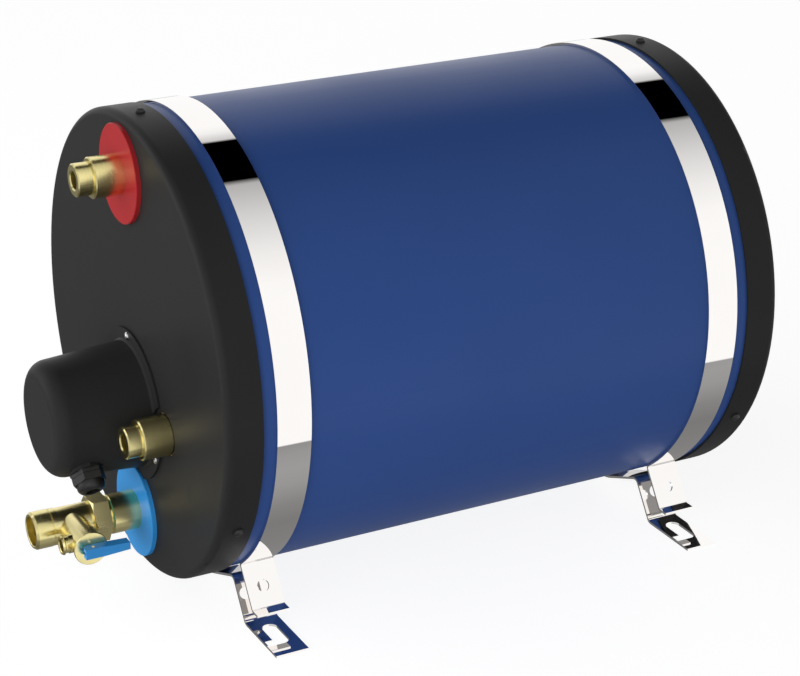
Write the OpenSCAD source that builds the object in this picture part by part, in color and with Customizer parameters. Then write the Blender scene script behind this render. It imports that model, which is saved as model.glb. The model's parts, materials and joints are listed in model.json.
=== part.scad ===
// Horizontal water heater for a caravan or boat: a foam-insulated tank in a
// painted steel casing, carried by two stainless straps on four slotted feet.
// The origin is on the floor, midway between the feet. The tank lies along Y,
// its fittings face -Y, and +Z is up.

/* [Casing] */
// Outer diameter of the painted casing
casing_d = 380; // [350:1:420]
// Sheet thickness of the casing
casing_wall = 1; // [0.8:0.1:1.5]
// Length over both end caps
body_len = 496; // [480:1:560]
// Height of the tank's axis above the floor
axis_h = 206; // [203:1:230]

/* [End caps] */
// Depth of each cap's skirt, measured from its face
cap_depth = 30; // [26:0.5:40]
// Wall of the caps
cap_wall = 1.8; // [1.5:0.1:2.5]
// Radius of the rounded edge of the caps
cap_round = 6; // [4:0.5:11]
// Number of rivets round each skirt
rivet_count = 3; // [3:1:6]
// Head diameter of the rivets
rivet_head_d = 7.6; // [6:0.1:9]
// Shank diameter of the rivets
rivet_d = 4; // [3:0.1:5]
// Height of the rivet heads
rivet_head_h = 3.4; // [1.2:0.1:4]
// Distance from a cap's face to its rivets
rivet_inset = 17.5; // [15:0.5:22]

/* [Straps] */
// Distance from a cap's skirt to the strap beside it
strap_gap = 11; // [4:0.5:40]
// Width of a strap
strap_w = 28; // [22:1:32]
// Thickness of a strap
strap_t = 2; // [1.5:0.1:2.5]
// Angle of the clamp ears, from straight down towards the side
clamp_angle = 34; // [30:1:38]
// Width of the flat under the tank of a lower strap
strap_flat = 100; // [90:1:104]
// Rise of a lower strap from the flat to its ears
leave_angle = 21.5; // [18:0.5:23]
// Offset of the upper ear above the clamp line
upper_ear_at = 8; // [6:0.5:12]
// Offset of the lower ear below the clamp line
lower_ear_at = 15; // [12:0.5:18]
// Length of the upper ear beyond the casing
upper_ear_len = 39; // [34:1:42]
// Length of the lip at the end of the upper ear
ear_lip = 8.5; // [5:0.5:12]
// Diameter of the clamp bolt's holes
ear_hole_d = 10; // [6:0.5:12]
// Distance of the clamp bolt's holes from the casing
ear_hole_at = 22.3; // [18:0.1:26]

/* [Feet] */
// Width over the tips of the feet
foot_width = 360; // [352:1:400]
// Width of the slot in a foot
slot_w = 12.7; // [8:0.1:14]
// Distance from the middle to the inner end of the slot
slot_in = 131; // [130:1:136]
// Distance from the middle to the outer end of the slot
slot_out = 164; // [158:1:168]
// Width of the slot's side entry
slot_entry_w = 8.4; // [5:0.1:10]
// Sheet left between the side entry and the edge of the foot
slot_bridge = 1; // [0.6:0.1:3]

/* [Tank] */
// Outer diameter of the inner tank
tank_d = 320; // [312:1:324]
// Wall of the inner tank
tank_wall = 1.5; // [1:0.1:2.5]
// Length of the inner tank over its dished heads
tank_len = 430; // [400:1:436]
// Crown radius of the dished heads
crown_r = 320; // [300:5:360]
// Knuckle radius of the dished heads
knuckle_r = 32; // [26:1:40]

/* [Water ports] */
// Height of the hot port above the axis, and depth of the cold port below it
port_offset = 145; // [140:0.5:146]
// Diameter of the collar of a fitting
collar_d = 33; // [30:0.1:35]
// Length of the collar in front of its disc
collar_len = 23.3; // [18:0.1:30]
// Diameter of the threaded stub
stub_d = 26.4; // [24:0.1:28]
// Length of the threaded stub
stub_len = 13; // [10:0.1:16]
// Bore of the fittings
port_bore = 14.5; // [12:0.1:16]
// Diameter of a fitting's shank
shank_d = 22; // [20:0.1:24]
// Diameter of the coloured discs
disc_d = 80; // [60:1:84]
// Thickness of the coloured discs
disc_t = 4; // [2:0.1:5]

/* [Coolant ports] */
// Distance between the two coolant ports
coolant_pitch = 140; // [139:0.5:150]
// Length of a coolant collar in front of the cap
coolant_len = 24; // [18:0.1:30]
// Diameter of a coolant stub
coolant_stub_d = 26; // [24:0.1:28]
// Length of a coolant stub
coolant_stub_len = 12; // [10:0.1:16]
// Outer diameter of the exchanger tube
exchanger_d = 22; // [18:0.5:24]
// Wall of the exchanger tube
exchanger_wall = 1; // [0.8:0.1:1.5]
// Length of the exchanger's straight runs
exchanger_len = 270; // [200:5:300]
// Drop from the upper runs of the exchanger to the lower runs
exchanger_drop = 50; // [44:1:56]

/* [Heater] */
// Depth of the heater and the coolant ports below the tank's axis
heater_drop = 50; // [46:1:54]
// Thread diameter of the heater plug
plug_thread_d = 47.6; // [42:0.1:50]
// Width across the flats of the plug
plug_hex = 55; // [54:0.5:58]
// Thickness of the plug's hexagon
plug_t = 9; // [7:0.5:11]
// Length of the heating rods in the water
element_len = 250; // [180:5:300]
// Diameter of the heating rods
rod_d = 8.2; // [6.5:0.1:8.5]
// Distance between the two legs of a heating rod
rod_pitch = 22; // [20:0.5:24]
// Outer diameter of the thermostat's pocket
pocket_d = 10; // [9:0.1:11]
// Length of the thermostat's pocket in the water
pocket_len = 200; // [120:5:240]
// Width of the thermostat housing
stat_w = 46; // [40:1:50]
// Height of the thermostat housing
stat_h = 34; // [30:1:38]
// Depth of the thermostat housing
stat_t = 32; // [26:1:38]
// Diameter of the thermostat's dial
dial_d = 18; // [14:0.5:20]
// Diameter of the reset button
button_d = 6; // [5:0.1:8]
// Travel of the reset button
button_travel = 2; // [1:0.1:3]

/* [Heater cover] */
// Diameter of the cover at its flange
cover_base_d = 105; // [102:0.5:106]
// Diameter of the cover at its front, before the rounding
cover_front_d = 94; // [90:0.5:101]
// Depth of the cover in front of its gasket
cover_depth = 80; // [72:0.5:90]
// Radius of the cover's rounded front edge
cover_round = 14; // [8:0.5:16]
// Wall of the cover
cover_wall = 2.5; // [2:0.1:3]
// Diameter of the cover's flange
flange_d = 126; // [124:0.5:130]
// Thickness of the cover's flange
flange_t = 1.5; // [1.2:0.1:3]
// Thickness of the gasket under the flange
gasket_t = 0.5; // [0.5:0.1:1.5]
// Diameter of the circle that the cover's screws are on
cover_screw_circle = 117; // [116:0.5:118]
// Number of screws on the cover
cover_screw_count = 3; // [3:3:3]
// Head diameter of the cover's screws
cover_screw_head_d = 7; // [6:0.1:7.5]
// Shank diameter of the cover's screws
cover_screw_d = 3.8; // [3:0.1:4.2]
// Diameter of the flange's notches round the coolant collars
notch_d = 44; // [40:0.5:46]

/* [Cable gland] */
// Angle of the gland, from straight down towards the side
gland_angle = 45; // [30:1:60]
// Distance from the cover's gasket to the gland's axis
gland_at = 54.5; // [40:0.5:56]
// Thread diameter of the gland
gland_thread_d = 20; // [16:0.5:20]
// Width across the flats of the gland
gland_hex = 24; // [22:0.5:26]
// Diameter of the gland's cable hole
gland_hole_d = 10.4; // [6:0.1:11]
// Height of the gland in front of its seat
gland_len = 17; // [15:0.5:22]

/* [Safety valve] */
// Width across the flats of the valve's nut
valve_hex = 36; // [34:0.5:38]
// Distance from the cap's face to the back of the nut
valve_hex_at = 30; // [28:0.5:32]
// Length of the nut
valve_hex_len = 14; // [12:0.5:18]
// Diameter of the valve's body
valve_body_d = 29.6; // [28:0.1:30]
// Diameter of the valve's inlet
inlet_d = 31.2; // [30:0.1:34]
// Distance from the cap's face to the inlet's mouth
inlet_at = 93; // [92:0.5:100]
// Length of the inlet piece that shows
inlet_len = 16; // [14:0.5:18]
// Bore of the inlet, for a pipe thread
inlet_bore = 24.4; // [22:0.1:25]
// Distance from the cap's face to the relief barrel's axis
barrel_at = 60.4; // [58:0.1:62]
// Diameter of the relief barrel
barrel_d = 25; // [23:0.1:26]
// Distance from the valve's axis to the front of the barrel's cap
barrel_len = 51; // [48:0.5:56]
// Diameter of the barrel's cap
barrel_cap_d = 28; // [26:0.5:32]
// Distance from the valve's axis to the drain
drain_at = 34.8; // [32:0.1:36]
// Diameter of the drain's rim
drain_d = 16.2; // [14:0.1:18]
// Length of the drain in front of the barrel
drain_len = 7.3; // [6:0.1:14]
// Length of the relief lever
lever_len = 37.4; // [30:0.1:44]
// Height of the lever at its pin
lever_h = 8.4; // [7.5:0.1:9]
// Height of the lever at its tip
lever_tip_h = 6; // [4:0.1:8]
// Depth of the lever
lever_t = 9; // [8.5:0.1:10]
// Distance from the lever's pin to its heel
lever_heel = 7.6; // [7:0.1:8]
// Diameter of the relief spindle
spindle_d = 6; // [5:0.1:6.4]
// Lift of the check disc
check_lift = 3.5; // [2:0.1:4]

/* [Hidden] */
$fn = 96;

// Clearances between pieces
slip = 0.2;       // round pieces that sit round or inside one another
snug = 0.05;      // shafts, shanks and threads in their holes
seat = 0.05;      // a moving face and the face it rests on
over = 1;         // how far a cutting shape runs past the face it cuts

// Radii and planes of the casing and caps, with distances along the tank from its middle
casing_r = casing_d / 2;
face = body_len / 2;
cap_r = casing_r + slip + cap_wall;
inner_round = cap_round - cap_wall;
casing_half = face - cap_round;
rivet_at = face - rivet_inset;
rivet_tail = 2;                                 // reach of a rivet's shank inside the casing

// Radii and places of the straps, and the inside radii of their bends
strap_r = casing_r + slip;
strap_pitch = body_len - 2 * (cap_depth + strap_gap) - strap_w;
strap_out = strap_r + strap_t;
strap_mid = strap_r + strap_t / 2;
band_bend = 5;
ear_bend = 2;
lip_bend = 1.5;
foot_bend = 4;

// Dished heads of the tank: centres of the crown and of the knuckle
crown_at = tank_len / 2 - crown_r;
knuckle_x = tank_d / 2 - knuckle_r;
knuckle_at = crown_at + sqrt(pow(crown_r - knuckle_r, 2) - pow(knuckle_x, 2));
crown_half_angle = asin(knuckle_x / (crown_r - knuckle_r));
boss_wall = 4;

// Distance along the tank of its outer surface, at a given distance off the axis
function head_at(x) = x <= (crown_r * sin(crown_half_angle))
    ? crown_at + sqrt(pow(crown_r, 2) - pow(x, 2))
    : knuckle_at + sqrt(pow(knuckle_r, 2) - pow(min(x - knuckle_x, knuckle_r), 2));

// Hot and cold fittings, as distances along the tank
collar_back = face + disc_t;
collar_front = collar_back + collar_len;
port_boss_front = head_at(port_offset - shank_d / 2) + 20;
port_shank_end = head_at(port_offset - shank_d / 2) + 3;
edge = 1;                                   // chamfer on turned edges

// Coolant fittings
coolant_x = coolant_pitch / 2;
coolant_off = sqrt(pow(coolant_x, 2) + pow(heater_drop, 2));
boss_reach = 12;                            // reach of a boss to each side of the tank's head
coolant_boss_front = head_at(coolant_off) + boss_reach;
coolant_shank_d = exchanger_d + 4;
coolant_boss_d = coolant_shank_d + 2 * boss_wall;
coolant_shank_end = head_at(coolant_off) - boss_reach;
socket_depth = 18;
collar_gap = 1.2;                           // open ring between a coolant collar and the cap
exchanger_front = coolant_shank_end + socket_depth;
exchanger_back = exchanger_front - exchanger_len;

// Heater plug, as distances along the tank
plug_boss_d = plug_thread_d + 12;
plug_gasket_t = 3;
plug_front = face + 4;
plug_back = plug_front - plug_t;
plug_boss_front = plug_back - plug_gasket_t;
thread_len = 21;
heater_hole_d = plug_hex / cos(30) + 14;    // hole in the cap, round the plug
stat_front = plug_front + stat_t;
stat_rise = 7;                              // height of the thermostat's middle above the plug's axis
dial_t = 6;
dial_stem_d = 5;
dial_x = -9;
button_x = 11;
button_len = 5;
stem_depth = 4;
block_w = 34;
block_h = 11;
block_t = 14;
block_drop = 24;
block_screw_pitch = 11;
block_screw_d = 3;

// Heater cover, as distances in front of its gasket
cover_back = face + gasket_t;
cover_slope = (cover_base_d - cover_front_d) / 2 / cover_depth;
cover_draft = atan(cover_slope);
cover_base_r = cover_base_d / 2;
screw_head_h = 2.4;
screw_len = 10;
flange_blend = 1.5;                         // fillet between the flange and the dome
function cover_r_at(z) = cover_base_r - cover_slope * z;

// Cable gland, as distances from the cover's axis
gland_pad_r = gland_hex / 2 + 2.2;
gland_seat = cover_r_at(gland_at - gland_pad_r) + 0.2;
gland_inside = sqrt(pow(cover_r_at(gland_at + gland_hex / 2) - cover_wall - over, 2)
    - pow(gland_hex / cos(30) / 2, 2));
gland_collar_t = 3.5;
gland_nut_gap = 0.3;
locknut_t = 4;
gland_bore_d = gland_thread_d - 5;

// Safety valve, as distances along the tank and across it
valve_hex_back = face + valve_hex_at;
valve_hex_front = valve_hex_back + valve_hex_len;
cold_stub_front = valve_hex_back + 9;
valve_washer_t = 2;
valve_bore = 20;
inlet_front = face + inlet_at;
inlet_back = inlet_front - inlet_len;
barrel_y = face + barrel_at;
barrel_bore = 19;
relief_seat_x = 15;
relief_hole_d = 10;
relief_disc_d = 14;
relief_disc_t = 3;
barrel_cap_t = 2;
cap_spigot = 4;
cap_back_x = barrel_len - barrel_cap_t - cap_spigot;
spigot_d = inlet_bore - 0.8;
spigot_len = 6;
seat_at = inlet_front - 11;                 // front of the ring that the check disc closes on
seat_t = 2.5;
check_seat_d = 14;
check_disc_d = 17;
check_disc_t = 2;
check_stem_d = 3;
check_guide_t = 2;
check_chamber_d = 19.4;
check_disc_back = seat_at - seat_t - seat - check_disc_t;
check_stem_end = inlet_back - spigot_len - check_guide_t - 2;
drain_neck_d = drain_d - 2.6;
drain_bore = 10.4;
drain_back = barrel_y + barrel_d / 2;
tongue_t = 2;
tongue_w = 5.2;
pin_d = 2.4;
lever_gap = 0.4;
lever_x = barrel_len + lever_gap;
pin_x = lever_x + lever_t / 2;
lever_slot_t = tongue_t + 0.6;
heel_round = lever_t / 2 - 0.2;
spring_wire = 1.2;

// Places a lathe-turned or flat piece that points out of the front of the heater
module front(x, z, from = 0) {
    translate([x, -from, axis_h + z]) rotate([90, 0, 0]) children();
}

// Places a piece of the safety valve that lies across the tank, pointing to the side
module across(x = 0) {
    translate([x, -barrel_y, axis_h - port_offset]) rotate([0, 90, 0]) children();
}

// Places the profile of a strap, which lies across the tank
module strap_frame(side) {
    translate([0, side * strap_pitch / 2, axis_h])
        rotate([90, 0, 0]) linear_extrude(strap_w, center = true) children();
}

module lathe(points) {
    rotate_extrude() polygon(points);
}

module tube(d, bore, len) {
    difference() {
        cylinder(d = d, h = len);
        translate([0, 0, -over]) cylinder(d = bore, h = len + 2 * over);
    }
}

module hex_bar(flats, len) {
    cylinder(d = flats / cos(30), h = len, $fn = 6);
}

// Hexagon with its corners turned down at the far end
module hex_nut(flats, len, chamfer) {
    corner_r = flats / cos(30) / 2;
    intersection() {
        hex_bar(flats, len);
        lathe([[0, 0], [corner_r + slip, 0], [corner_r + slip, len - chamfer],
            [corner_r - chamfer * 1.7, len], [0, len]]);
    }
}

// Drum with a rounded outer edge at its far end
module drum(r, from, to, round_r) {
    rotate_extrude() {
        translate([0, from]) square([r, to - from - round_r]);
        translate([0, from]) square([r - round_r, to - from]);
        translate([r - round_r, to - round_r]) circle(round_r);
    }
}

// Points of a dished head from the tank's axis to its side, grown by g all round
function head_points(g) = concat(
    [for (i = [0 : 8]) let (a = crown_half_angle * i / 8)
        [(crown_r + g) * sin(a), crown_at + (crown_r + g) * cos(a)]],
    [for (i = [1 : 8]) let (a = crown_half_angle + (90 - crown_half_angle) * i / 8)
        [knuckle_x + (knuckle_r + g) * sin(a), knuckle_at + (knuckle_r + g) * cos(a)]]
);

module tank_solid(g) {
    head = head_points(g);
    last = len(head) - 1;
    front(0, 0) lathe(concat(head, [for (i = [0 : last]) [head[last - i][0], -head[last - i][1]]]));
}

// Holes for the rivets of a cap, round its axis
module rivet_places() {
    for (i = [0 : rivet_count - 1])
        rotate([0, 0, 90 + i * 360 / rivet_count]) translate([casing_r, 0, rivet_at]) rotate([0, 90, 0])
            children();
}

module cover_screw_places() {
    for (i = [0 : cover_screw_count - 1])
        rotate([0, 0, 90 + i * 360 / cover_screw_count]) translate([cover_screw_circle / 2, 0, 0])
            children();
}

// Helical spring of square-ended wire along Z, as one swept tube
module coil_spring(coil_r, wire, len, turns) {
    sides = 6;
    per_turn = 16;
    rings = turns * per_turn;
    rise = len - wire;
    points = [
        for (i = [0 : rings], j = [0 : sides - 1])
            let (a = 360 * i / per_turn, b = 360 * j / sides, r = coil_r + wire / 2 * cos(b))
            [r * cos(a), r * sin(a), wire / 2 + rise * i / rings + wire / 2 * sin(b)]
    ];
    walls = [
        for (i = [0 : rings - 1], j = [0 : sides - 1])
            let (k = (j + 1) % sides)
            each [
                [i * sides + j, (i + 1) * sides + j, (i + 1) * sides + k],
                [i * sides + j, (i + 1) * sides + k, i * sides + k]
            ]
    ];
    last = rings * sides;
    near_end = [for (j = [1 : sides - 2]) [0, j, j + 1]];
    far_end = [for (j = [1 : sides - 2]) [last, last + j + 1, last + j]];
    polyhedron(points, concat(walls, near_end, far_end));
}

// Casing and insulation

module casing() color([0.14, 0.25, 0.5]) difference() {
    front(0, 0, -casing_half) tube(casing_d, casing_d - 2 * casing_wall, 2 * casing_half);
    for (end = [0, 1]) mirror([0, end, 0]) front(0, 0) rivet_places()
        cylinder(d = rivet_d + 2 * snug, h = 4 * casing_wall, center = true);
}

module insulation() color([0.9, 0.85, 0.6]) difference() {
    union() {
        foam_half = casing_half - slip;
        cap_half = face - cap_wall - slip;
        front(0, 0, -foam_half) cylinder(r = casing_r - casing_wall - slip, h = 2 * foam_half);
        front(0, 0, -cap_half) cylinder(r = casing_r - inner_round - slip, h = 2 * cap_half);
    }
    tank_solid(slip);
    for (z = [port_offset, -port_offset]) {
        front(0, z, knuckle_at - knuckle_r) cylinder(d = shank_d + 2 * boss_wall + 2 * slip, h = face);
    }
    for (x = [-coolant_x, coolant_x])
        front(x, -heater_drop, knuckle_at - knuckle_r)
            cylinder(d = max(collar_d, coolant_boss_d) + 2 * slip, h = face);
    front(0, -heater_drop, knuckle_at) cylinder(d = plug_boss_d + 2 * slip, h = face);
    front(0, -heater_drop, plug_boss_front - over) cylinder(d = heater_hole_d, h = face);
    front(0, -heater_drop, face - screw_len) cover_screw_places() cylinder(d = 2 * cover_screw_d, h = face);
    for (end = [0, 1]) mirror([0, end, 0]) front(0, 0) rivet_places()
        cylinder(d = 2 * rivet_d, h = 8 * casing_wall, center = true);
}

// End caps

module cap_shell() {
    difference() {
        drum(cap_r, face - cap_depth, face, cap_round);
        drum(casing_r + slip, face - cap_depth - over, face - cap_wall, inner_round);
        rivet_places() cylinder(d = rivet_d + 2 * snug, h = 6 * cap_wall, center = true);
    }
}

module front_cap() color([0.12, 0.12, 0.12]) difference() {
    front(0, 0) cap_shell();
    for (z = [port_offset, -port_offset])
        front(0, z, face - 2 * cap_wall) cylinder(d = shank_d + 2 * edge, h = 3 * cap_wall);
    for (x = [-coolant_x, coolant_x])
        front(x, -heater_drop, face - 2 * cap_wall)
            cylinder(d = collar_d + 2 * collar_gap, h = 3 * cap_wall);
    front(0, -heater_drop, face - 2 * cap_wall) cylinder(d = heater_hole_d, h = 3 * cap_wall);
    front(0, -heater_drop, face - 2 * cap_wall) cover_screw_places()
        cylinder(d = cover_screw_d + 2 * snug, h = 3 * cap_wall);
}

module rear_cap() color([0.12, 0.12, 0.12]) mirror([0, 1, 0]) front(0, 0) cap_shell();

// Domed rivets, each with its shank through the skirt and the casing
module cap_rivets() {
    front(0, 0) rivet_places() {
        translate([0, 0, -casing_wall - rivet_tail])
            cylinder(d = rivet_d, h = casing_wall + rivet_tail + cap_r - casing_r + over);
        translate([0, 0, cap_r - casing_r + snug]) lathe([
            [0, 0], [rivet_head_d / 2, 0], [rivet_head_d / 2, rivet_head_h * 0.35],
            [rivet_head_d * 0.42, rivet_head_h * 0.7], [rivet_head_d * 0.25, rivet_head_h * 0.95],
            [0, rivet_head_h]
        ]);
    }
}

module front_cap_rivets() color([0.1, 0.1, 0.1]) cap_rivets();

module rear_cap_rivets() color([0.1, 0.1, 0.1]) mirror([0, 1, 0]) cap_rivets();

// Straps. In the clamp's own frame X points out along the clamp line and Y
// points up the side of the tank. A strap's end is one outline: its bends, its
// ear and its lip or foot, with a tail that runs back inside the band.

upper_ear_face = upper_ear_at + strap_t / 2;
lower_ear_face = lower_ear_at - strap_t / 2;
upper_bend_y = upper_ear_face + ear_bend;
upper_bend_x = sqrt(pow(strap_out + ear_bend, 2) - pow(upper_bend_y, 2));
upper_turn = asin(upper_bend_y / (strap_out + ear_bend));
lower_bend_y = lower_ear_face + strap_t + band_bend;
lower_turn = clamp_angle - leave_angle;
lower_out = strap_flat / 2 * sin(leave_angle) + strap_out * cos(leave_angle);
lower_bend_x = (lower_out + band_bend - lower_bend_y * sin(lower_turn)) / cos(lower_turn);
flat_bend = 40;                                 // bend from the flat to the rise
flat_bend_at = [strap_flat / 2 - (flat_bend + strap_t) * tan(leave_angle / 2),
    flat_bend + strap_t - strap_out];
lip_x = casing_r + upper_ear_len;
lip_y = upper_ear_face + lip_bend;
foot_bend_y = foot_bend - lower_ear_face;
foot_bend_x = (foot_bend_y * sin(clamp_angle) + axis_h - strap_t - foot_bend) / cos(clamp_angle);
foot_len = foot_width / 2 - foot_bend_x * sin(clamp_angle) - foot_bend_y * cos(clamp_angle);
level = [sin(clamp_angle), cos(clamp_angle)];   // the level direction, outwards
turn_end = 360 - clamp_angle;                   // where a bend turns level
tail_angle = 2;                                 // reach of an end's tail inside the band
join_angle = 3;                                 // where an end's bend leaves the band

function arc(centre, r, from, to) = [for (i = [0 : 6]) centre + r * [cos(from + (to - from) * i / 6),
    sin(from + (to - from) * i / 6)]];
function back(points) = [for (i = [len(points) - 1 : -1 : 0]) points[i]];
function on_band(r, angle) = [[cos(angle), sin(angle)] * r];
function turned(p, angle) = [p.x * cos(angle) - p.y * sin(angle), p.x * sin(angle) + p.y * cos(angle)];
function mirrored(points) = [for (p = points) [-p.x, p.y]];

module upper_strap_end() {
    bend_at = [upper_bend_x, upper_bend_y];
    lip_at = [lip_x, lip_y];
    near = concat(arc(bend_at, ear_bend, 180 + upper_turn + join_angle, 270),
        arc(lip_at, lip_bend, 270, turn_end));
    far = concat(arc(bend_at, ear_bend + strap_t, 180 + upper_turn + join_angle, 270),
        arc(lip_at, lip_bend + strap_t, 270, turn_end));
    last = len(near) - 1;
    rotate(clamp_angle - 90)
        polygon(concat(on_band(strap_mid, upper_turn + tail_angle), near, [near[last] + ear_lip * level],
            [far[last] + ear_lip * level], back(far)));
}

// Half of a lower strap's outline, from the flat to the foot's tip, on either face
function lower_edge(flat_r, bend_r, foot_r) =
    let (bends = concat(arc([lower_bend_x, -lower_bend_y], bend_r, 180 - lower_turn, 90),
        arc([foot_bend_x, foot_bend_y], foot_r, 270, turn_end)))
    concat(arc(flat_bend_at, flat_r, -90, leave_angle - 90),
        [for (p = concat(bends, [bends[len(bends) - 1] + foot_len * level])) turned(p, clamp_angle - 90)]);

module strap_ring() {
    difference() {
        circle(strap_out);
        circle(strap_r);
    }
}

module lower_wedge(half_angle) {
    reach = 3 * strap_out;
    polygon([[0, 0], reach * [sin(half_angle), -cos(half_angle)],
        reach * [-sin(half_angle), -cos(half_angle)]]);
}

module ear_holes(side) {
    for (hand = [0, 1]) mirror([hand, 0, 0]) translate([0, side * strap_pitch / 2, axis_h])
        rotate([90, 0, 0]) rotate([0, 0, clamp_angle - 90]) translate([casing_r + ear_hole_at, 0, 0])
            rotate([90, 0, 0]) cylinder(d = ear_hole_d, h = 4 * lower_ear_at, center = true);
}

// Slot of a foot, with a side entry towards the fittings
module foot_slots(side) {
    for (hand = [0, 1]) mirror([hand, 0, 0]) translate([0, side * strap_pitch / 2, -over]) {
        for (x = [slot_in + slot_w / 2, slot_out - slot_w / 2])
            translate([x, 0, 0]) cylinder(d = slot_w, h = strap_t + 2 * over);
        translate([slot_in + slot_w / 2, -slot_w / 2, 0])
            cube([slot_out - slot_in - slot_w, slot_w, strap_t + 2 * over]);
        translate([slot_out - slot_entry_w, slot_bridge - strap_w / 2, 0])
            cube([slot_entry_w, strap_w / 2 - slot_bridge, strap_t + 2 * over]);
    }
}

module upper_strap(side) {
    difference() {
        union() {
            strap_frame(side) difference() {
                strap_ring();
                lower_wedge(clamp_angle + upper_turn);
            }
            for (hand = [0, 1]) mirror([hand, 0, 0]) strap_frame(side) upper_strap_end();
        }
        ear_holes(side);
    }
}

module lower_strap(side) {
    difference() {
        strap_frame(side) let (
            near = lower_edge(flat_bend, band_bend + strap_t, foot_bend),
            far = lower_edge(flat_bend + strap_t, band_bend, foot_bend + strap_t)
        ) polygon(concat(near, back(far), mirrored(far), back(mirrored(near))));
        ear_holes(side);
        foot_slots(side);
    }
}

module front_upper_strap() color([0.85, 0.86, 0.88]) upper_strap(-1);

module rear_upper_strap() color([0.85, 0.86, 0.88]) upper_strap(1);

module front_lower_strap() color([0.85, 0.86, 0.88]) lower_strap(-1);

module rear_lower_strap() color([0.85, 0.86, 0.88]) lower_strap(1);

// Tank, with the welded bosses that its fittings screw into

module inner_tank() color([0.75, 0.76, 0.78]) difference() {
    union() {
        tank_solid(0);
        for (z = [port_offset, -port_offset])
            front(0, z, knuckle_at) cylinder(d = shank_d + 2 * boss_wall, h = port_boss_front - knuckle_at);
        for (x = [-coolant_x, coolant_x]) front(x, -heater_drop, knuckle_at)
            cylinder(d = coolant_boss_d, h = coolant_boss_front - knuckle_at);
        front(0, -heater_drop, knuckle_at) cylinder(d = plug_boss_d, h = plug_boss_front - knuckle_at);
    }
    tank_solid(-tank_wall);
    for (z = [port_offset, -port_offset]) {
        front(0, z, port_shank_end - snug) cylinder(d = shank_d + 2 * snug, h = face);
        front(0, z, knuckle_at - knuckle_r) cylinder(d = port_bore, h = face);
    }
    for (x = [-coolant_x, coolant_x])
        front(x, -heater_drop, knuckle_at - over) cylinder(d = coolant_shank_d + 2 * snug, h = face);
    front(0, -heater_drop, knuckle_at - over) cylinder(d = plug_thread_d + 2 * snug, h = face);
}

// Fitting of a water port, from its shank in the tank to its threaded stub
module port_fitting(stub_front) {
    shank = shank_d / 2;
    collar = collar_d / 2;
    stub = stub_d / 2;
    bore = port_bore / 2;
    lathe([
        [bore, port_shank_end], [shank, port_shank_end], [shank, collar_back],
        [collar, collar_back], [collar, collar_front - edge], [collar - edge, collar_front],
        [stub, collar_front], [stub, stub_front - edge], [stub - edge, stub_front],
        [bore + edge, stub_front], [bore, stub_front - edge]
    ]);
}

module port_disc(z) {
    front(0, z, face) difference() {
        lathe([[0, 0], [disc_d / 2, 0], [disc_d / 2, disc_t - edge / 2], [(disc_d - edge) / 2, disc_t],
            [0, disc_t]]);
        translate([0, 0, -over]) cylinder(d = shank_d + 2 * slip, h = disc_t + 2 * over);
    }
}

module hot_fitting() color([0.78, 0.7, 0.42]) front(0, port_offset) port_fitting(collar_front + stub_len);

module hot_disc() color([0.75, 0.12, 0.15]) port_disc(port_offset);

module cold_fitting() color([0.78, 0.7, 0.42]) front(0, -port_offset) port_fitting(cold_stub_front);

module cold_disc() color([0.1, 0.4, 0.75]) port_disc(-port_offset);

// Coolant circuit

module coolant_fitting(x) {
    shank = coolant_shank_d / 2;
    collar = collar_d / 2;
    stub = coolant_stub_d / 2;
    bore = port_bore / 2;
    socket = exchanger_d / 2 + snug;
    collar_end = face + coolant_len;
    stub_end = collar_end + coolant_stub_len;
    front(x, -heater_drop) lathe([
        [socket, coolant_shank_end], [shank, coolant_shank_end], [shank, coolant_boss_front + slip],
        [collar, coolant_boss_front + slip], [collar, collar_end - edge], [collar - edge, collar_end],
        [stub, collar_end], [stub, stub_end - edge], [stub - edge, stub_end],
        [bore + edge, stub_end], [bore, stub_end - edge],
        [bore, exchanger_front + slip], [socket, exchanger_front + slip]
    ]);
}

module coolant_inlet() color([0.78, 0.7, 0.42]) coolant_fitting(coolant_x);

module coolant_outlet() color([0.78, 0.7, 0.42]) coolant_fitting(-coolant_x);

module half_ring(r, d) {
    rotate_extrude(angle = 180) translate([r, 0]) circle(d = d);
}

// Runs and return bends of the exchanger, at the given diameter
module exchanger_path(d, spare) {
    lower = -heater_drop - exchanger_drop;
    turn = exchanger_drop / 2;
    run_front = exchanger_front - socket_depth - 2 * exchanger_d - coolant_x;
    for (x = [-coolant_x, coolant_x]) {
        front(x, -heater_drop, exchanger_back) cylinder(d = d, h = exchanger_len + spare);
        front(x, lower, exchanger_back) cylinder(d = d, h = run_front - exchanger_back);
        translate([x, -exchanger_back, axis_h + lower + turn])
            rotate([0, 90, 0]) half_ring(turn, d);
    }
    translate([0, -run_front, axis_h + lower]) rotate([0, 0, 180]) half_ring(coolant_x, d);
}

module exchanger_tube() color([0.75, 0.76, 0.78]) difference() {
    exchanger_path(exchanger_d, 0);
    exchanger_path(exchanger_d - 2 * exchanger_wall, over);
}

// Electric heater

module plug_gasket() color([0.25, 0.25, 0.25])
    front(0, -heater_drop, plug_boss_front) tube(plug_boss_d, plug_thread_d + 2 * slip, plug_gasket_t);

rod_row = 11;                               // height of the upper rods above the plug's axis

module heater_plug() color([0.78, 0.7, 0.42]) front(0, -heater_drop) difference() {
    union() {
        translate([0, 0, plug_back]) hex_bar(plug_hex, plug_t);
        translate([0, 0, plug_back - thread_len]) cylinder(d = plug_thread_d, h = thread_len + over);
    }
    for (x = [-rod_pitch / 2, rod_pitch / 2], y = [-rod_row, rod_row])
        translate([x, y, plug_back - thread_len - over])
            cylinder(d = rod_d + 2 * snug, h = thread_len + plug_t + 2 * over);
    translate([0, 0, plug_back - thread_len - over])
        cylinder(d = pocket_d + 2 * snug, h = thread_len + plug_t + 2 * over);
}

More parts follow.
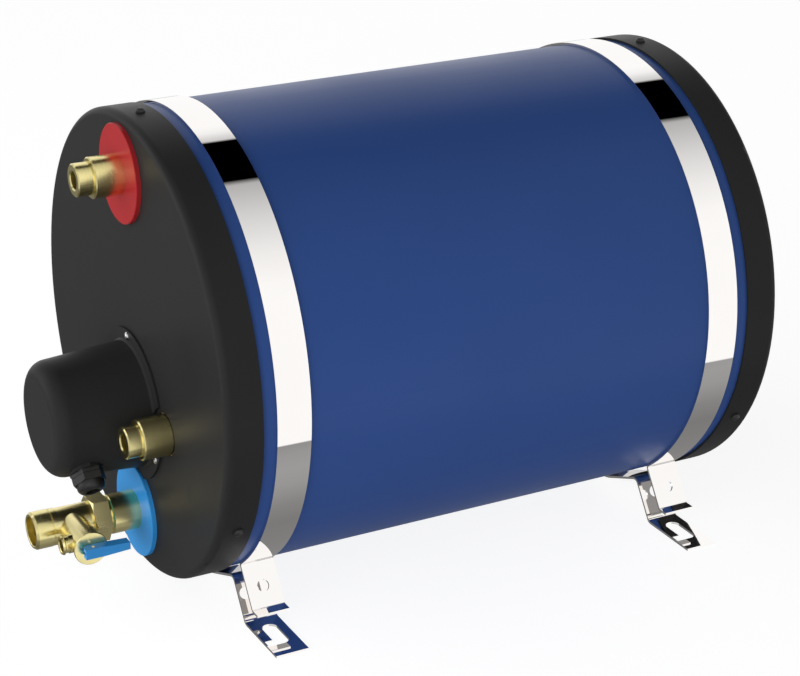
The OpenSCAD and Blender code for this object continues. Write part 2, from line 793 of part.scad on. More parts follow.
// Two hairpin rods, which end level with the plug's face
module heating_rods() color([0.45, 0.45, 0.47]) {
    rod_end = plug_back - thread_len - element_len;
    for (y = [-rod_row, rod_row]) {
        for (x = [-rod_pitch / 2, rod_pitch / 2])
            front(x, y - heater_drop, rod_end) cylinder(d = rod_d, h = plug_front - rod_end);
        translate([0, -rod_end, axis_h + y - heater_drop]) half_ring(rod_pitch / 2, rod_d);
    }
}

module thermostat_pocket() color([0.75, 0.76, 0.78]) front(0, -heater_drop) {
    pocket_end = plug_back - thread_len - pocket_len;
    lathe([
        [0, pocket_end], [pocket_d / 2, pocket_end], [pocket_d / 2, plug_front],
        [pocket_d / 2 - 1, plug_front], [pocket_d / 2 - 1, pocket_end + 1], [0, pocket_end + 1]
    ]);
}

module thermostat_rod() color([0.72, 0.45, 0.3])
    front(0, -heater_drop, plug_front - pocket_len) cylinder(d = pocket_d - 2 - 2 * slip, h = pocket_len);

module thermostat_housing() color([0.85, 0.84, 0.8]) front(0, -heater_drop) difference() {
    translate([-stat_w / 2, stat_rise - stat_h / 2, plug_front]) cube([stat_w, stat_h, stat_t]);
    translate([dial_x, stat_rise, stat_front - stem_depth])
        cylinder(d = dial_stem_d + 2 * snug, h = stem_depth + over);
    translate([button_x, stat_rise, stat_front - stem_depth])
        cylinder(d = button_d + 2 * snug, h = stem_depth + over);
}

// Dial with a raised grip across it
module thermostat_dial() color([0.1, 0.1, 0.1]) front(dial_x, stat_rise - heater_drop, stat_front) {
    translate([0, 0, seat - stem_depth + slip]) cylinder(d = dial_stem_d, h = stem_depth);
    translate([0, 0, seat]) lathe([[0, 0], [dial_d / 2, 0], [dial_d / 2 - 0.6, dial_t / 2], [0, dial_t / 2]]);
    translate([-dial_d / 9, -dial_d / 2 + 1, seat]) cube([dial_d / 4.5, dial_d - 2, dial_t]);
}

module reset_button() color([0.75, 0.12, 0.15])
    front(button_x, stat_rise - heater_drop, stat_front - stem_depth + button_travel + seat)
    lathe([[0, 0], [button_d / 2, 0], [button_d / 2, button_len - edge / 2],
        [button_d / 2 - edge / 2, button_len], [0, button_len]]);

// Block that the mains leads screw into, below the thermostat
module terminal_block() color([0.9, 0.88, 0.8]) front(0, -heater_drop - block_drop, plug_front) difference() {
    translate([-block_w / 2, -block_h / 2, 0]) cube([block_w, block_h, block_t]);
    for (i = [-1, 0, 1]) translate([i * block_screw_pitch, 0, block_t / 2])
        cylinder(d = block_screw_d + 2 * snug, h = block_t);
}

module terminal_screws() color([0.8, 0.75, 0.5]) front(0, -heater_drop - block_drop, plug_front)
    for (i = [-1, 0, 1]) translate([i * block_screw_pitch, 0, block_t / 2]) {
        cylinder(d = block_screw_d, h = block_t / 2);
        translate([0, 0, block_t / 2]) difference() {
            cylinder(d = 1.8 * block_screw_d, h = 2);
            translate([-block_screw_d, -0.4, 1]) cube([2 * block_screw_d, 0.8, 2]);
        }
    }

// Cover over the heater

// Solid of the cover's dome, drawn in from its outside and lengthened at its rim
module dome_solid(inset, below = 0) {
    top = cover_depth - inset;
    round_r = cover_round - inset;
    round_z = top - round_r;
    base_r = cover_base_r - inset / cos(cover_draft);
    round_x = base_r - cover_slope * round_z - round_r / cos(cover_draft);
    corner = [round_x, round_z];
    touch = corner + round_r * [cos(cover_draft), sin(cover_draft)];
    crown = corner + [0, round_r];
    inner = corner - [round_r, round_r];
    rotate_extrude() {
        polygon([[0, -below], [base_r + cover_slope * below, -below], touch, corner, crown, [0, top]]);
        intersection() {
            translate(corner) circle(round_r);
            polygon([inner, inner + 3 * (touch - inner), inner + 6 * [round_r, round_r],
                inner + 3 * (crown - inner)]);
        }
    }
}

// Clearances in the flange and the gasket, round the collars and the lower disc
module notches() {
    for (x = [-coolant_x, coolant_x]) translate([x, 0, -over]) cylinder(d = notch_d, h = face);
    translate([0, heater_drop - port_offset, -over]) cylinder(d = disc_d + 3 * slip, h = face);
}

module cover_screw_holes(len) {
    cover_screw_places() translate([0, 0, -over]) cylinder(d = cover_screw_d + 2 * slip, h = len + 2 * over);
}

module cover_flange() {
    blend_r = cover_r_at(0) + flange_blend;
    difference() {
        lathe([
            [0, 0], [flange_d / 2, 0], [flange_d / 2, flange_t], [blend_r, flange_t],
            [cover_r_at(0) - over, flange_t + flange_blend + over], [0, flange_t + flange_blend + over]
        ]);
        notches();
        cover_screw_holes(flange_t);
    }
}

// Places what belongs to the gland along its axis, from the cover's axis out
module gland_frame(from) {
    front(0, -heater_drop, cover_back + gland_at) rotate([0, 0, gland_angle - 90]) rotate([0, 90, 0])
        translate([0, 0, from]) children();
}

module heater_cover() color([0.12, 0.12, 0.12]) difference() {
    union() {
        front(0, -heater_drop, cover_back) difference() {
            union() {
                cover_flange();
                dome_solid(0);
            }
            dome_solid(cover_wall, over);
        }
        gland_frame(gland_inside) cylinder(r = gland_pad_r, h = gland_seat - gland_inside, $fn = 12);
    }
    gland_frame(gland_inside / 2) cylinder(d = gland_thread_d + 2 * snug, h = gland_seat);
}

module cover_gasket() color([0.2, 0.2, 0.2]) front(0, -heater_drop, face) difference() {
    tube(flange_d - 2 * over, cover_base_d - 4 * cover_wall, gasket_t);
    notches();
    cover_screw_holes(gasket_t);
}

module cover_screws() color([0.85, 0.86, 0.88]) front(0, -heater_drop, face) cover_screw_places() {
    under_head = gasket_t + flange_t;
    difference() {
        translate([0, 0, under_head]) lathe([
            [0, 0], [cover_screw_head_d / 2, 0], [cover_screw_head_d / 2, screw_head_h * 0.4],
            [cover_screw_head_d * 0.38, screw_head_h * 0.8], [cover_screw_head_d * 0.2, screw_head_h],
            [0, screw_head_h]
        ]);
        for (a = [0, 90]) rotate([0, 0, a])
            translate([-0.5, -cover_screw_head_d / 4, under_head + screw_head_h / 2])
            cube([1, cover_screw_head_d / 2, screw_head_h]);
    }
    translate([0, 0, under_head - screw_len]) cylinder(d = cover_screw_d, h = screw_len + 0.1);
}

// Cable gland in the cover's lower side

module gland_body() color([0.08, 0.08, 0.08]) {
    gland_frame(gland_seat) difference() {
        union() {
            hex_bar(gland_hex, gland_collar_t);
            cylinder(d = gland_thread_d - 2, h = gland_collar_t + 5);
            translate([0, 0, gland_inside - gland_seat - locknut_t - 1])
                cylinder(d = gland_thread_d, h = gland_seat - gland_inside + locknut_t + 1.01);
        }
        translate([0, 0, -gland_seat]) cylinder(d = gland_bore_d, h = 2 * gland_seat);
    }
}

module gland_locknut() color([0.1, 0.1, 0.1]) gland_frame(gland_inside - locknut_t - snug) difference() {
    rotate([0, 0, 30]) hex_bar(gland_hex, locknut_t);
    translate([0, 0, -over]) cylinder(d = gland_thread_d + 2 * snug, h = locknut_t + 2 * over);
}

module gland_seal() color([0.05, 0.05, 0.05])
    gland_frame(gland_seat + 1) tube(gland_bore_d - 2 * snug, gland_hole_d, gland_len - 5);

module gland_nut() color([0.08, 0.08, 0.08]) {
    nut_len = gland_len - gland_collar_t - gland_nut_gap;
    hex_len = nut_len * 0.45;
    dome_r = gland_hex / 2 - 0.6;
    dome_round = 5;
    gland_frame(gland_seat + gland_collar_t + gland_nut_gap) difference() {
        union() {
            hex_nut(gland_hex, hex_len, edge);
            rotate_extrude() {
                square([dome_r, nut_len - dome_round]);
                square([dome_r - dome_round, nut_len]);
                translate([dome_r - dome_round, nut_len - dome_round]) circle(dome_round);
            }
        }
        translate([0, 0, -over]) cylinder(d = gland_thread_d - 2 + 2 * snug, h = over + 5.2);
        translate([0, 0, -over]) cylinder(d = gland_bore_d + 2 * snug, h = over + nut_len - 2.2);
        translate([0, 0, -over]) cylinder(d = gland_hole_d + 1, h = nut_len + 2 * over);
    }
}

// Safety valve on the cold port

module valve_washer() color([0.3, 0.3, 0.3])
    front(0, -port_offset, cold_stub_front) tube(stub_d - 1, port_bore + edge, valve_washer_t);

module barrel_space() {
    across() {
        cylinder(d = relief_hole_d, h = barrel_len);
        translate([0, 0, relief_seat_x]) cylinder(d = barrel_bore, h = barrel_len);
    }
}

module valve_body() color([0.78, 0.7, 0.42]) difference() {
    union() {
        front(0, -port_offset, valve_hex_back) hex_nut(valve_hex, valve_hex_len, 1.6);
        front(0, -port_offset, valve_hex_front - over)
            cylinder(d = valve_body_d, h = inlet_back - valve_hex_front + over);
        front(0, -port_offset, inlet_back - 5) cylinder(d = inlet_d - 0.6, h = 5);
        across() cylinder(d = barrel_d, h = barrel_len - barrel_cap_t);
        front(drain_at, -port_offset, barrel_y) cylinder(d = drain_neck_d + 1.6, h = barrel_d / 2 + 1.5);
    }
    front(0, -port_offset, valve_hex_back - over)
        cylinder(d = stub_d + 2 * snug, h = over + cold_stub_front - valve_hex_back + valve_washer_t);
    front(0, -port_offset, valve_hex_back)
        cylinder(d = valve_bore, h = inlet_back - valve_hex_back - spigot_len);
    front(0, -port_offset, inlet_back - spigot_len - check_guide_t)
        cylinder(d = spigot_d + 2 * snug, h = 2 * spigot_len + check_guide_t);
    barrel_space();
    front(drain_at, -port_offset, barrel_y) cylinder(d = drain_bore - 2, h = barrel_d);
    front(drain_at, -port_offset, drain_back - 2) cylinder(d = drain_neck_d - 1.6 + 2 * snug, h = barrel_d);
}

// Inlet piece, screwed into the body, with the seat of the check disc
module valve_inlet() color([0.78, 0.7, 0.42]) {
    outer = inlet_d / 2;
    bore = inlet_bore / 2;
    groove = 0.6;
    front(0, -port_offset) lathe([
        [check_chamber_d / 2, inlet_back - spigot_len], [spigot_d / 2, inlet_back - spigot_len],
        [spigot_d / 2, inlet_back], [outer - groove, inlet_back],
        [outer - groove, inlet_back + groove], [outer, inlet_back + 2 * groove],
        [outer, inlet_front - 2 * edge], [outer - 1.5 * edge, inlet_front],
        [bore + edge / 2, inlet_front], [bore, inlet_front - edge / 2], [bore, seat_at],
        [check_seat_d / 2, seat_at], [check_seat_d / 2, seat_at - seat_t],
        [check_chamber_d / 2, seat_at - seat_t]
    ]);
}

// Spider that guides the stem of the check disc
module check_guide() color([0.85, 0.84, 0.8])
    front(0, -port_offset, inlet_back - spigot_len - check_guide_t) difference() {
        cylinder(d = spigot_d - 2 * snug, h = check_guide_t);
        translate([0, 0, -over]) cylinder(d = check_stem_d + 2 * snug, h = check_guide_t + 2 * over);
        for (a = [0, 120, 240]) rotate([0, 0, a]) translate([6, 0, -over])
            cylinder(d = 5.5, h = check_guide_t + 2 * over);
    }

module check_spring() color([0.7, 0.7, 0.72])
    front(0, -port_offset, inlet_back - spigot_len + snug)
    coil_spring(4.5, 0.8, check_disc_back - inlet_back + spigot_len - 2 * snug, 4);

// Disc that lets cold water in and holds warm water back, with its stem
module check_disc() color([0.2, 0.2, 0.2]) front(0, -port_offset) {
    translate([0, 0, check_disc_back]) cylinder(d = check_disc_d, h = check_disc_t);
    translate([0, 0, check_stem_end]) cylinder(d = check_stem_d, h = check_disc_back - check_stem_end + edge);
}

module drain_tail() color([0.78, 0.7, 0.42]) {
    rim = drain_d / 2;
    neck = drain_neck_d / 2;
    inner = drain_neck_d / 2 - 0.8;
    bore = drain_bore / 2;
    start = drain_back - 2 + snug;
    neck_start = drain_back + 1.5 + snug;
    mouth = drain_back + drain_len;
    front(drain_at, -port_offset) lathe([
        [bore, start], [inner, start], [inner, neck_start], [neck, neck_start],
        [neck, mouth - 2.6], [rim, mouth - 1.4], [rim - 0.8, mouth],
        [bore + 0.8, mouth], [bore, mouth - 0.8]
    ]);
}

module barrel_cap() color([0.78, 0.7, 0.42]) across() difference() {
    lathe([
        [0, cap_back_x], [barrel_bore / 2 - snug, cap_back_x],
        [barrel_bore / 2 - snug, barrel_len - barrel_cap_t], [barrel_cap_d / 2, barrel_len - barrel_cap_t],
        [barrel_cap_d / 2, barrel_len - 0.4], [barrel_cap_d / 2 - 0.4, barrel_len], [0, barrel_len]
    ]);
    cylinder(d = spindle_d + 2 * snug, h = 2 * barrel_len);
}

module relief_spring() color([0.7, 0.7, 0.72]) {
    from = relief_seat_x + relief_disc_t + 2 * seat;
    across(from) coil_spring(6, spring_wire, cap_back_x - from - seat, 7);
}

// Spindle of the relief valve: its closing disc, its rod and the tongue that the lever's pin goes through
module relief_spindle() color([0.82, 0.8, 0.7]) {
    tongue_back = cap_back_x + 2.4;
    across(relief_seat_x + seat) cylinder(d = relief_disc_d, h = relief_disc_t);
    across(relief_seat_x + seat + relief_disc_t - 0.01)
        cylinder(d = spindle_d, h = tongue_back - relief_seat_x - relief_disc_t);
    difference() {
        translate([0, -barrel_y, axis_h - port_offset]) {
            intersection() {
                translate([tongue_back - over, -tongue_w / 2, -tongue_t / 2])
                    cube([pin_x - tongue_back + over, tongue_w, tongue_t]);
                rotate([0, 90, 0]) cylinder(d = spindle_d, h = 2 * barrel_len);
            }
            translate([pin_x, 0, -tongue_t / 2]) cylinder(d = tongue_w, h = tongue_t);
        }
        translate([pin_x, -barrel_y, axis_h - port_offset - lever_h])
            cylinder(d = pin_d + 0.02, h = 2 * lever_h);
    }
}

module lever_pin() color([0.7, 0.7, 0.72])
    translate([pin_x, -barrel_y, axis_h - port_offset - lever_h / 2]) cylinder(d = pin_d, h = lever_h);

// Lever that lifts the spindle by its heel, slotted for the spindle's tongue
module relief_lever() color([0.1, 0.4, 0.75]) {
    tip = lever_len - lever_heel;
    heel_x = pin_x - lever_x - heel_round;
    translate([pin_x, -barrel_y, axis_h - port_offset]) difference() {
        linear_extrude(lever_h, center = true) difference() {
            translate([-lever_t / 2, -lever_heel]) square([lever_t, lever_len]);
            difference() {
                translate([-lever_t / 2 - over, -lever_heel - over])
                    square([heel_round + over, heel_round + over]);
                translate([-heel_x, heel_round - lever_heel]) circle(heel_round);
            }
        }
        for (up = [0, 1]) mirror([0, 0, up]) translate([-lever_t, 0, 0]) rotate([90, 0, 90])
            linear_extrude(2 * lever_t) polygon([
                [lever_heel, lever_h / 2], [tip + over, lever_tip_h / 2],
                [tip + over, lever_h], [lever_heel, lever_h]
            ]);
        translate([-lever_t, -lever_heel - over, -lever_slot_t / 2])
            cube([lever_t + tongue_w / 2 + 0.5, lever_heel + over + tongue_w / 2 + 0.8, lever_slot_t]);
        translate([0, 0, -lever_h]) cylinder(d = pin_d + 2 * snug, h = 2 * lever_h);
    }
}

casing();
insulation();
front_cap();
rear_cap();
front_cap_rivets();
rear_cap_rivets();
front_upper_strap();
rear_upper_strap();
front_lower_strap();
rear_lower_strap();
inner_tank();
exchanger_tube();
coolant_inlet();
coolant_outlet();
hot_fitting();
hot_disc();
cold_fitting();
cold_disc();
plug_gasket();
heater_plug();
heating_rods();
thermostat_pocket();
thermostat_housing();
thermostat_rod();
thermostat_dial();
reset_button();
terminal_block();
terminal_screws();
cover_gasket();
heater_cover();
cover_screws();
gland_body();
gland_locknut();
gland_seal();
gland_nut();
valve_washer();
valve_body();
valve_inlet();
check_guide();
check_spring();
check_disc();
drain_tail();
barrel_cap();
relief_spring();
relief_spindle();
lever_pin();
relief_lever();
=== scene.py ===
import json
import math

import bmesh
import bpy
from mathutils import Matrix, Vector

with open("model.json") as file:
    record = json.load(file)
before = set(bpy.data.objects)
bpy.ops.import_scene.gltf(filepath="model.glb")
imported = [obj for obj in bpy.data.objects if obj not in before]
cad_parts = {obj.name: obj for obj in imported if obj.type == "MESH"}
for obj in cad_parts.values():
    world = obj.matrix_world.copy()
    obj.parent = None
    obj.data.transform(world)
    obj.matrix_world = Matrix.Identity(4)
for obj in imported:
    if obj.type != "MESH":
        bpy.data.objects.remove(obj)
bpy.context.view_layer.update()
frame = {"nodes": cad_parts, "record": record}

nodes = frame["nodes"]

# Camera, at the place the photo was taken from
cameraSetup = {
    "place": (1.5575, -0.8218, 0.8840),
    "looksAlong": (-0.8197, 0.4305, -0.3778),
    "lens": 99.8,  # mm on a 36 mm wide sensor
    "sensor": 36.0,
}


def makeCamera(setup):
    data = bpy.data.cameras.new("photoCamera")
    data.lens, data.sensor_width, data.sensor_fit = setup["lens"], setup["sensor"], "HORIZONTAL"
    camera = bpy.data.objects.new("photoCamera", data)
    camera.location = setup["place"]
    camera.rotation_euler = Vector(setup["looksAlong"]).to_track_quat("-Z", "Y").to_euler()
    bpy.context.scene.collection.objects.link(camera)
    bpy.context.scene.camera = camera


makeCamera(cameraSetup)
bpy.context.scene.view_settings.view_transform = "Standard"
print("camera placed")


class Wire:  # a node's output that Python's arithmetic works on
    def __init__(self, sheet, socket):
        self.sheet, self.socket = sheet, socket

    def sibling(self, output):
        return Wire(self.sheet, self.socket.node.outputs[output])

    def maths(self, operation, left, right):
        return self.sheet.node("ShaderNodeMath", {"operation": operation}, {0: left, 1: right})

    def __add__(self, other):
        return self.maths("ADD", self, other)

    __radd__ = __add__

    def __sub__(self, other):
        return self.maths("SUBTRACT", self, other)

    def __rsub__(self, other):
        return self.maths("SUBTRACT", other, self)

    def __mul__(self, other):
        return self.maths("MULTIPLY", self, other)

    __rmul__ = __mul__

    def __truediv__(self, other):
        return self.maths("DIVIDE", self, other)


class Sheet:  # a node tree that new nodes are put on
    def __init__(self, tree):
        self.tree = tree
        tree.nodes.clear()

    def node(self, kind, settings=None, inputs=None, output=0):
        made = self.tree.nodes.new(kind)
        for key, value in (settings or {}).items():
            if key == "stops":
                self.setStops(made.color_ramp, value)
            else:
                setattr(made, key, value)
        for key, value in (inputs or {}).items():
            if isinstance(value, Wire):
                self.tree.links.new(value.socket, made.inputs[key])
            else:
                made.inputs[key].default_value = value
        return Wire(self, made.outputs[output])

    def setStops(self, ramp, stops):
        while len(ramp.elements) < len(stops):
            ramp.elements.new(1.0)
        for element, (at, shade) in zip(ramp.elements, sorted(stops)):
            element.position = at
            element.color = (*shade, 1) if isinstance(shade, tuple) else (shade, shade, shade, 1)


class Finish(Sheet):  # a surface finish: its shader, and patterns on the object's own coordinates
    def __init__(self, name, constants):
        self.material = bpy.data.materials.new(name)
        self.material.use_nodes = True
        super().__init__(self.material.node_tree)
        self.shader = self.tree.nodes.new("ShaderNodeBsdfPrincipled")
        out = self.tree.nodes.new("ShaderNodeOutputMaterial")
        self.tree.links.new(self.shader.outputs[0], out.inputs[0])
        for key, value in constants.items():
            self.shader.inputs[key].default_value = value
        self.place = self.node("ShaderNodeTexCoord", output="Object")

    def feed(self, key, value):
        if isinstance(value, Wire):
            self.tree.links.new(value.socket, self.shader.inputs[key])
        else:
            self.shader.inputs[key].default_value = value

    def stretched(self, scale, turn=(0, 0, 0)):
        return self.node("ShaderNodeMapping", None, {"Vector": self.place, "Scale": scale, "Rotation": turn})

    def noise(self, scale, detail, rough=0.5, vector=None):
        return self.node("ShaderNodeTexNoise", None, {
            "Vector": vector or self.place, "Scale": scale, "Detail": detail, "Roughness": rough})

    def cells(self, scale):
        return self.node("ShaderNodeTexVoronoi", {"feature": "F1"}, {"Vector": self.place, "Scale": scale})

    def spread(self, wire, low, high, fromLow=0.3, fromHigh=0.7):
        return self.node("ShaderNodeMapRange", None, {
            "Value": wire, "From Min": fromLow, "From Max": fromHigh, "To Min": low, "To Max": high})

    def blend(self, mask, first, second):
        made = self.tree.nodes.new("ShaderNodeMix")
        made.data_type = "RGBA"
        for index, value in ((0, mask), (6, first), (7, second)):
            if isinstance(value, Wire):
                self.tree.links.new(value.socket, made.inputs[index])
            elif index:
                made.inputs[index].default_value = (*value, 1)
            else:
                made.inputs[index].default_value = value
        return Wire(self, made.outputs[2])

    def bump(self, height, strength, distance, under=None):
        inputs = {"Height": height, "Strength": strength, "Distance": distance}
        if under:
            inputs["Normal"] = under
        return self.node("ShaderNodeBump", None, inputs)


def moulded(name, base, light, grain, rough, grainDepth=0.00006, shine=0.5):
    # moulded or textured plastic: a fine grain, broad uneven gloss and faint scuffs
    finish = Finish(name, {"Specular IOR Level": shine})
    broad = finish.noise(scale=14, detail=3)
    fine = finish.noise(scale=grain, detail=2)
    scuffs = finish.noise(scale=9, detail=4, vector=finish.stretched((4, 30, 4), turn=(0.3, 0.2, 0.9)))
    scuffMask = finish.spread(scuffs, 0, 1, fromLow=0.62, fromHigh=0.74)
    tone = finish.spread(broad, 0, 1)
    finish.feed("Base Color", finish.blend(tone * 0.6 + scuffMask * 0.25, base, light))
    finish.feed("Roughness", finish.spread(broad, *rough) + scuffMask * 0.05)
    finish.feed("Normal", finish.bump(fine, strength=0.35, distance=grainDepth))
    return finish.material


def polished(name, base, stained, rough, streaks, depth=0.000004):
    # rolled or drawn metal with fine lines along one direction, scaled by the streaks given
    finish = Finish(name, {"Metallic": 1.0})
    lines = finish.noise(scale=1, detail=2, vector=finish.stretched(streaks))
    broad = finish.noise(scale=18, detail=2)
    finish.feed("Base Color", finish.blend(finish.spread(broad, 0, 0.6), base, stained))
    finish.feed("Roughness", finish.spread(lines, *rough) + finish.spread(broad, 0, 0.015))
    finish.feed("Normal", finish.bump(lines, strength=0.3, distance=depth))
    return finish.material


def turned(name, base, dull, rough, along, depth=0.00001):
    # turned brass: fine tool rings across the axis given, a little darker tarnish in patches
    finish = Finish(name, {"Metallic": 1.0})
    ringScale = tuple(5200 if axis == along else 6 for axis in "XYZ")
    rings = finish.noise(scale=1, detail=1, vector=finish.stretched(ringScale))
    patches = finish.noise(scale=40, detail=3, rough=0.55)
    specks = finish.noise(scale=700, detail=2)
    tarnish = finish.spread(patches, 0, 0.6, fromLow=0.40, fromHigh=0.75)
    ringed = finish.bump(rings, strength=0.006, distance=depth)
    finish.feed("Base Color", finish.blend(tarnish, base, dull))
    finish.feed("Roughness", finish.spread(rings, *rough) + tarnish * 0.04)
    finish.feed("Normal", finish.bump(specks, strength=0.05, distance=depth, under=ringed))
    return finish.material


def painted(name, base, deep, rough, shine):
    # stove enamel on sheet steel: fine orange peel and a slightly uneven gloss
    finish = Finish(name, {"Specular IOR Level": shine})
    broad = finish.noise(scale=6, detail=3)
    peel = finish.noise(scale=520, detail=2)
    finish.feed("Base Color", finish.blend(finish.spread(broad, 0, 1), base, deep))
    finish.feed("Roughness", finish.spread(broad, *rough))
    finish.feed("Normal", finish.bump(peel, strength=0.18, distance=0.00005))
    return finish.material


def foamed(name, base, deep, cellScale):
    # blown foam: open cells, darker towards their walls
    finish = Finish(name, {"Roughness": 0.8})
    cell = finish.cells(cellScale)
    finish.feed("Base Color", finish.blend(finish.spread(cell, 0, 1, fromLow=0.1, fromHigh=0.6), base, deep))
    finish.feed("Normal", finish.bump(cell, strength=0.6, distance=0.0004))
    return finish.material


# One finish for each material slot of the record, and one for brass turned across the tank
finishes = {
    "casing_paint": painted("casingPaint", (0.032, 0.0895, 0.322), (0.0295, 0.0825, 0.298),
                            rough=(0.30, 0.38), shine=0.17),
    "cap_black": moulded("capPlastic", (0.0245, 0.0245, 0.0245), (0.028, 0.028, 0.028),
                         grain=1500, rough=(0.34, 0.42), shine=0.07),
    "strap_steel": polished("strapSteel", (0.98, 0.957, 0.937), (0.955, 0.93, 0.91),
                            rough=(0.005, 0.014), streaks=(60, 1500, 60)),
    "tank_steel": polished("tankSteel", (0.60, 0.60, 0.60), (0.48, 0.48, 0.47),
                           rough=(0.25, 0.38), streaks=(300, 20, 300), depth=0.00002),
    "foam": foamed("insulatingFoam", (0.80, 0.70, 0.40), (0.58, 0.47, 0.22), cellScale=420),
    "brass": turned("turnedBrass", (0.94, 0.83, 0.40), (0.83, 0.71, 0.30), rough=(0.22, 0.26), along="Y"),
    "brass_across": turned("barrelBrass", (0.94, 0.83, 0.42), (0.81, 0.70, 0.31),
                           rough=(0.22, 0.26), along="X"),
    "disc_red": moulded("redDisc", (0.39, 0.020, 0.024), (0.42, 0.024, 0.028),
                        grain=1300, rough=(0.26, 0.34), grainDepth=0.00002, shine=0.15),
    "disc_blue": moulded("blueDisc", (0.038, 0.32, 0.79), (0.043, 0.34, 0.82),
                         grain=1300, rough=(0.26, 0.34), grainDepth=0.00002, shine=0.2),
    "cover_black": moulded("coverPlastic", (0.0255, 0.0255, 0.0255), (0.029, 0.029, 0.029),
                           grain=2100, rough=(0.34, 0.42), grainDepth=0.00003, shine=0.05),
    "gland_black": moulded("glandNylon", (0.010, 0.010, 0.010), (0.016, 0.016, 0.016),
                           grain=1800, rough=(0.38, 0.48)),
    "rubber": moulded("sealRubber", (0.018, 0.018, 0.018), (0.030, 0.030, 0.030),
                      grain=1200, rough=(0.60, 0.75)),
    "rod_steel": polished("rodSteel", (0.34, 0.32, 0.30), (0.20, 0.15, 0.12),
                          rough=(0.30, 0.45), streaks=(200, 30, 200)),
    "screw_steel": polished("zincPlate", (0.86, 0.86, 0.86), (0.76, 0.77, 0.80),
                            rough=(0.12, 0.20), streaks=(400, 400, 400)),
    "cream_plastic": moulded("creamPlastic", (0.66, 0.62, 0.50), (0.72, 0.69, 0.58),
                             grain=1400, rough=(0.35, 0.45)),
    "copper_rod": polished("copperRod", (0.80, 0.42, 0.27), (0.62, 0.30, 0.20),
                           rough=(0.22, 0.32), streaks=(200, 30, 200)),
    "rivet_black": moulded("rivetPaint", (0.013, 0.013, 0.013), (0.019, 0.019, 0.019),
                           grain=1500, rough=(0.40, 0.50)),
}
acrossNodes = ("valve_body", "barrel_cap", "relief_spindle")  # their brass has rings across X


def dressNodes():
    slotOf = {row["node"]: row["material_slot"] for row in frame["record"]["subparts"]}
    for name, piece in nodes.items():
        finish = finishes["brass_across" if name in acrossNodes else slotOf[name]]
        for index in range(len(piece.material_slots)):
            piece.material_slots[index].material = finish


dressNodes()
print("finishes on", len(nodes), "nodes")

# Studio: the world is white for the camera, soft from both ends of the tank for matt surfaces, and for
# polished ones a room of light walls, with a dark gap overhead, a grey floor and a dimmer fittings' end
studio = {
    "backdrop": 0.98,  # white that the camera sees past the floor
    # a ray's direction along the tank, and the soft light that comes from there
    "soft": [(-1.0, 1.32), (-0.05, 0.0), (0.35, 0.0), (1.0, 0.95)],
    # angle in degrees round the tank's axis, from +X up over the top, and the room's brightness there
    "walls": [(-180, 1.0), (-172, 1.0), (-166, 0.28), (-140, 0.28), (-130, 1.0), (33, 1.0), (45, 0.98),
              (60, 0.88), (78, 0.70), (99.7, 0.44), (100.0, 0.0), (126.6, 0.0), (126.9, 0.60),
              (129, 0.66), (134, 0.92), (139, 1.0), (180, 1.0)],
    "ground": [(-180, 0.28), (-95, 0.20), (-82, 0.24), (-68, 0.32), (-58, 0.342), (-50, 0.323),
               (-40, 0.266), (0, 0.26)],
    "groundEdge": (-0.587, -0.579),  # a ray's height in which the room's grey floor ends
    "lean": 0.28,  # turn of the walls towards +Y
    "endLevel": 0.60,  # share of the room's light left at the fittings' end
    "endFade": (-0.32, 0.06),  # a ray's direction along the tank over which it comes back
    "floorSize": 12.0,
    "floorShade": 0.86,
    "floorLift": 0.20,  # light that the bright paper adds from below
    "floorGlow": 0.88,  # the camera's view of the paper: its own white
    "floorFaint": 0.26,  # and the part that takes a shadow
}


def makeWorld(setup):
    world = bpy.data.worlds.new("studio")
    world.use_nodes = True
    bpy.context.scene.world = world
    sheet = Sheet(world.node_tree)
    direction = sheet.node("ShaderNodeTexCoord", output="Generated")
    across = sheet.node("ShaderNodeSeparateXYZ", None, {0: direction})
    along, up = across.sibling(1), across.sibling(2)
    leaning = across - along * setup["lean"]
    turn = sheet.node("ShaderNodeMath", {"operation": "ARCTAN2"}, {0: up, 1: leaning}) / math.tau + 0.5
    shades = {key: sheet.node("ShaderNodeValToRGB", {
        "stops": [((degrees + 180) / 360, level) for degrees, level in setup[key]]}, {0: turn})
        for key in ("walls", "ground")}
    wallShare = sheet.node("ShaderNodeMapRange", None, {
        "Value": up, "From Min": setup["groundEdge"][0], "From Max": setup["groundEdge"][1]})
    endShare = sheet.node("ShaderNodeMapRange", None, {
        "Value": along, "From Min": setup["endFade"][0], "From Max": setup["endFade"][1],
        "To Min": setup["endLevel"], "To Max": 1.0})
    room = (shades["walls"] * wallShare + shades["ground"] * (1.0 - wallShare)) * endShare
    rays = sheet.node("ShaderNodeLightPath", output="Is Camera Ray")
    softLevel = sheet.node("ShaderNodeValToRGB", {
        "stops": [((part + 1) / 2, level) for part, level in setup["soft"]]}, {0: along * 0.5 + 0.5})
    soft = sheet.node("ShaderNodeBackground", None, {"Color": (1, 1, 1, 1), "Strength": softLevel})
    mirrored = sheet.node("ShaderNodeBackground", None, {"Color": (1, 1, 1, 1), "Strength": room})
    white = sheet.node("ShaderNodeBackground", None, {"Color": (1, 1, 1, 1), "Strength": setup["backdrop"]})
    unseen = sheet.node("ShaderNodeMixShader", None, {0: rays.sibling("Is Glossy Ray"), 1: soft, 2: mirrored})
    seen = sheet.node("ShaderNodeMixShader", None, {0: rays, 1: unseen, 2: white})
    out = sheet.tree.nodes.new("ShaderNodeOutputWorld")
    sheet.tree.links.new(seen.socket, out.inputs["Surface"])


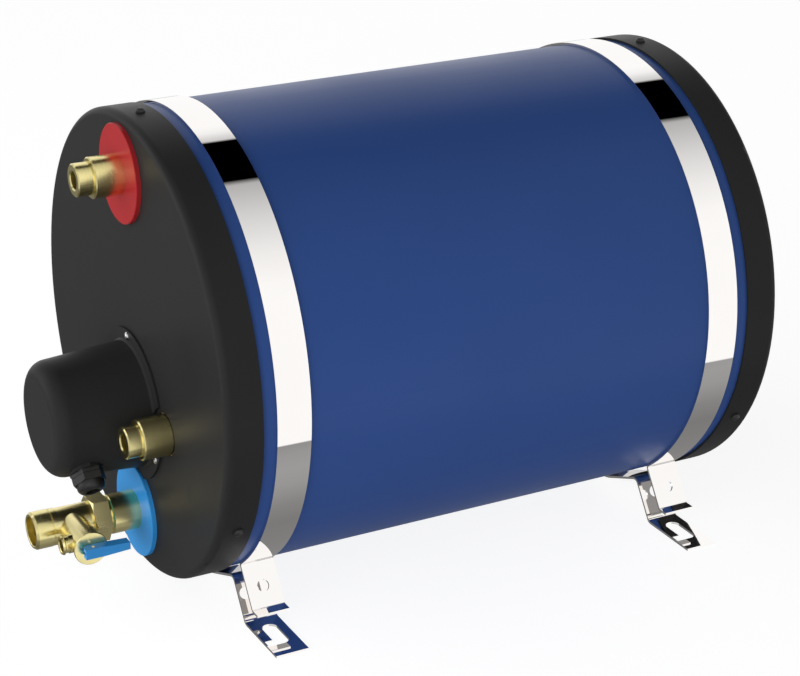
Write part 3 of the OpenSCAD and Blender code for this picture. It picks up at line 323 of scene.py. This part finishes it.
def makeFloor(setup):
    shape = bmesh.new()
    bmesh.ops.create_grid(shape, x_segments=1, y_segments=1, size=setup["floorSize"] / 2)
    mesh = bpy.data.meshes.new("studioFloor")
    shape.to_mesh(mesh)
    shape.free()
    floor = bpy.data.objects.new("studioFloor", mesh)
    bpy.context.scene.collection.objects.link(floor)

    # paper for the light it throws back, and for the camera a white that keeps a faint shadow
    material = bpy.data.materials.new("floorPaper")
    material.use_nodes = True
    sheet = Sheet(material.node_tree)
    shade, faint = setup["floorShade"], setup["floorFaint"]
    lit = sheet.node("ShaderNodeBsdfDiffuse", None, {"Color": (shade, shade, shade, 1)})
    lift = sheet.node("ShaderNodeEmission", None, {"Color": (1, 1, 1, 1), "Strength": setup["floorLift"]})
    paper = sheet.node("ShaderNodeAddShader", None, {0: lit, 1: lift})
    shadowed = sheet.node("ShaderNodeBsdfDiffuse", None, {"Color": (faint, faint, faint, 1)})
    glow = sheet.node("ShaderNodeEmission", None, {"Color": (1, 1, 1, 1), "Strength": setup["floorGlow"]})
    pale = sheet.node("ShaderNodeAddShader", None, {0: shadowed, 1: glow})
    rays = sheet.node("ShaderNodeLightPath", output="Is Camera Ray")
    both = sheet.node("ShaderNodeMixShader", None, {0: rays, 1: paper, 2: pale})
    out = sheet.tree.nodes.new("ShaderNodeOutputMaterial")
    sheet.tree.links.new(both.socket, out.inputs["Surface"])
    mesh.materials.append(material)
    floor.visible_glossy = False


lampAim = (0, -0.02, 0.2)
lamps = {  # mirrored: seen in glossy surfaces
    "keyLamp": {"place": (1.6, -1.5, 0.8), "size": 1.6, "power": 6.0, "mirrored": True},
    "fillLamp": {"place": (-0.9, -1.8, 0.6), "size": 1.6, "power": 8.0, "mirrored": True},
    "lowLamp": {"place": (0.9, -1.9, 0.40), "size": 1.0, "power": 8.0, "mirrored": False},
}


def makeLamps(setups, aim):
    for name, setup in setups.items():
        data = bpy.data.lights.new(name, "AREA")
        data.size, data.energy = setup["size"], setup["power"]
        lamp = bpy.data.objects.new(name, data)
        lamp.location = setup["place"]
        toward = Vector(aim) - Vector(setup["place"])
        lamp.rotation_euler = toward.to_track_quat("-Z", "Y").to_euler()
        lamp.visible_glossy = setup["mirrored"]
        bpy.context.scene.collection.objects.link(lamp)


makeWorld(studio)
makeFloor(studio)
makeLamps(lamps, lampAim)
print("studio lit")
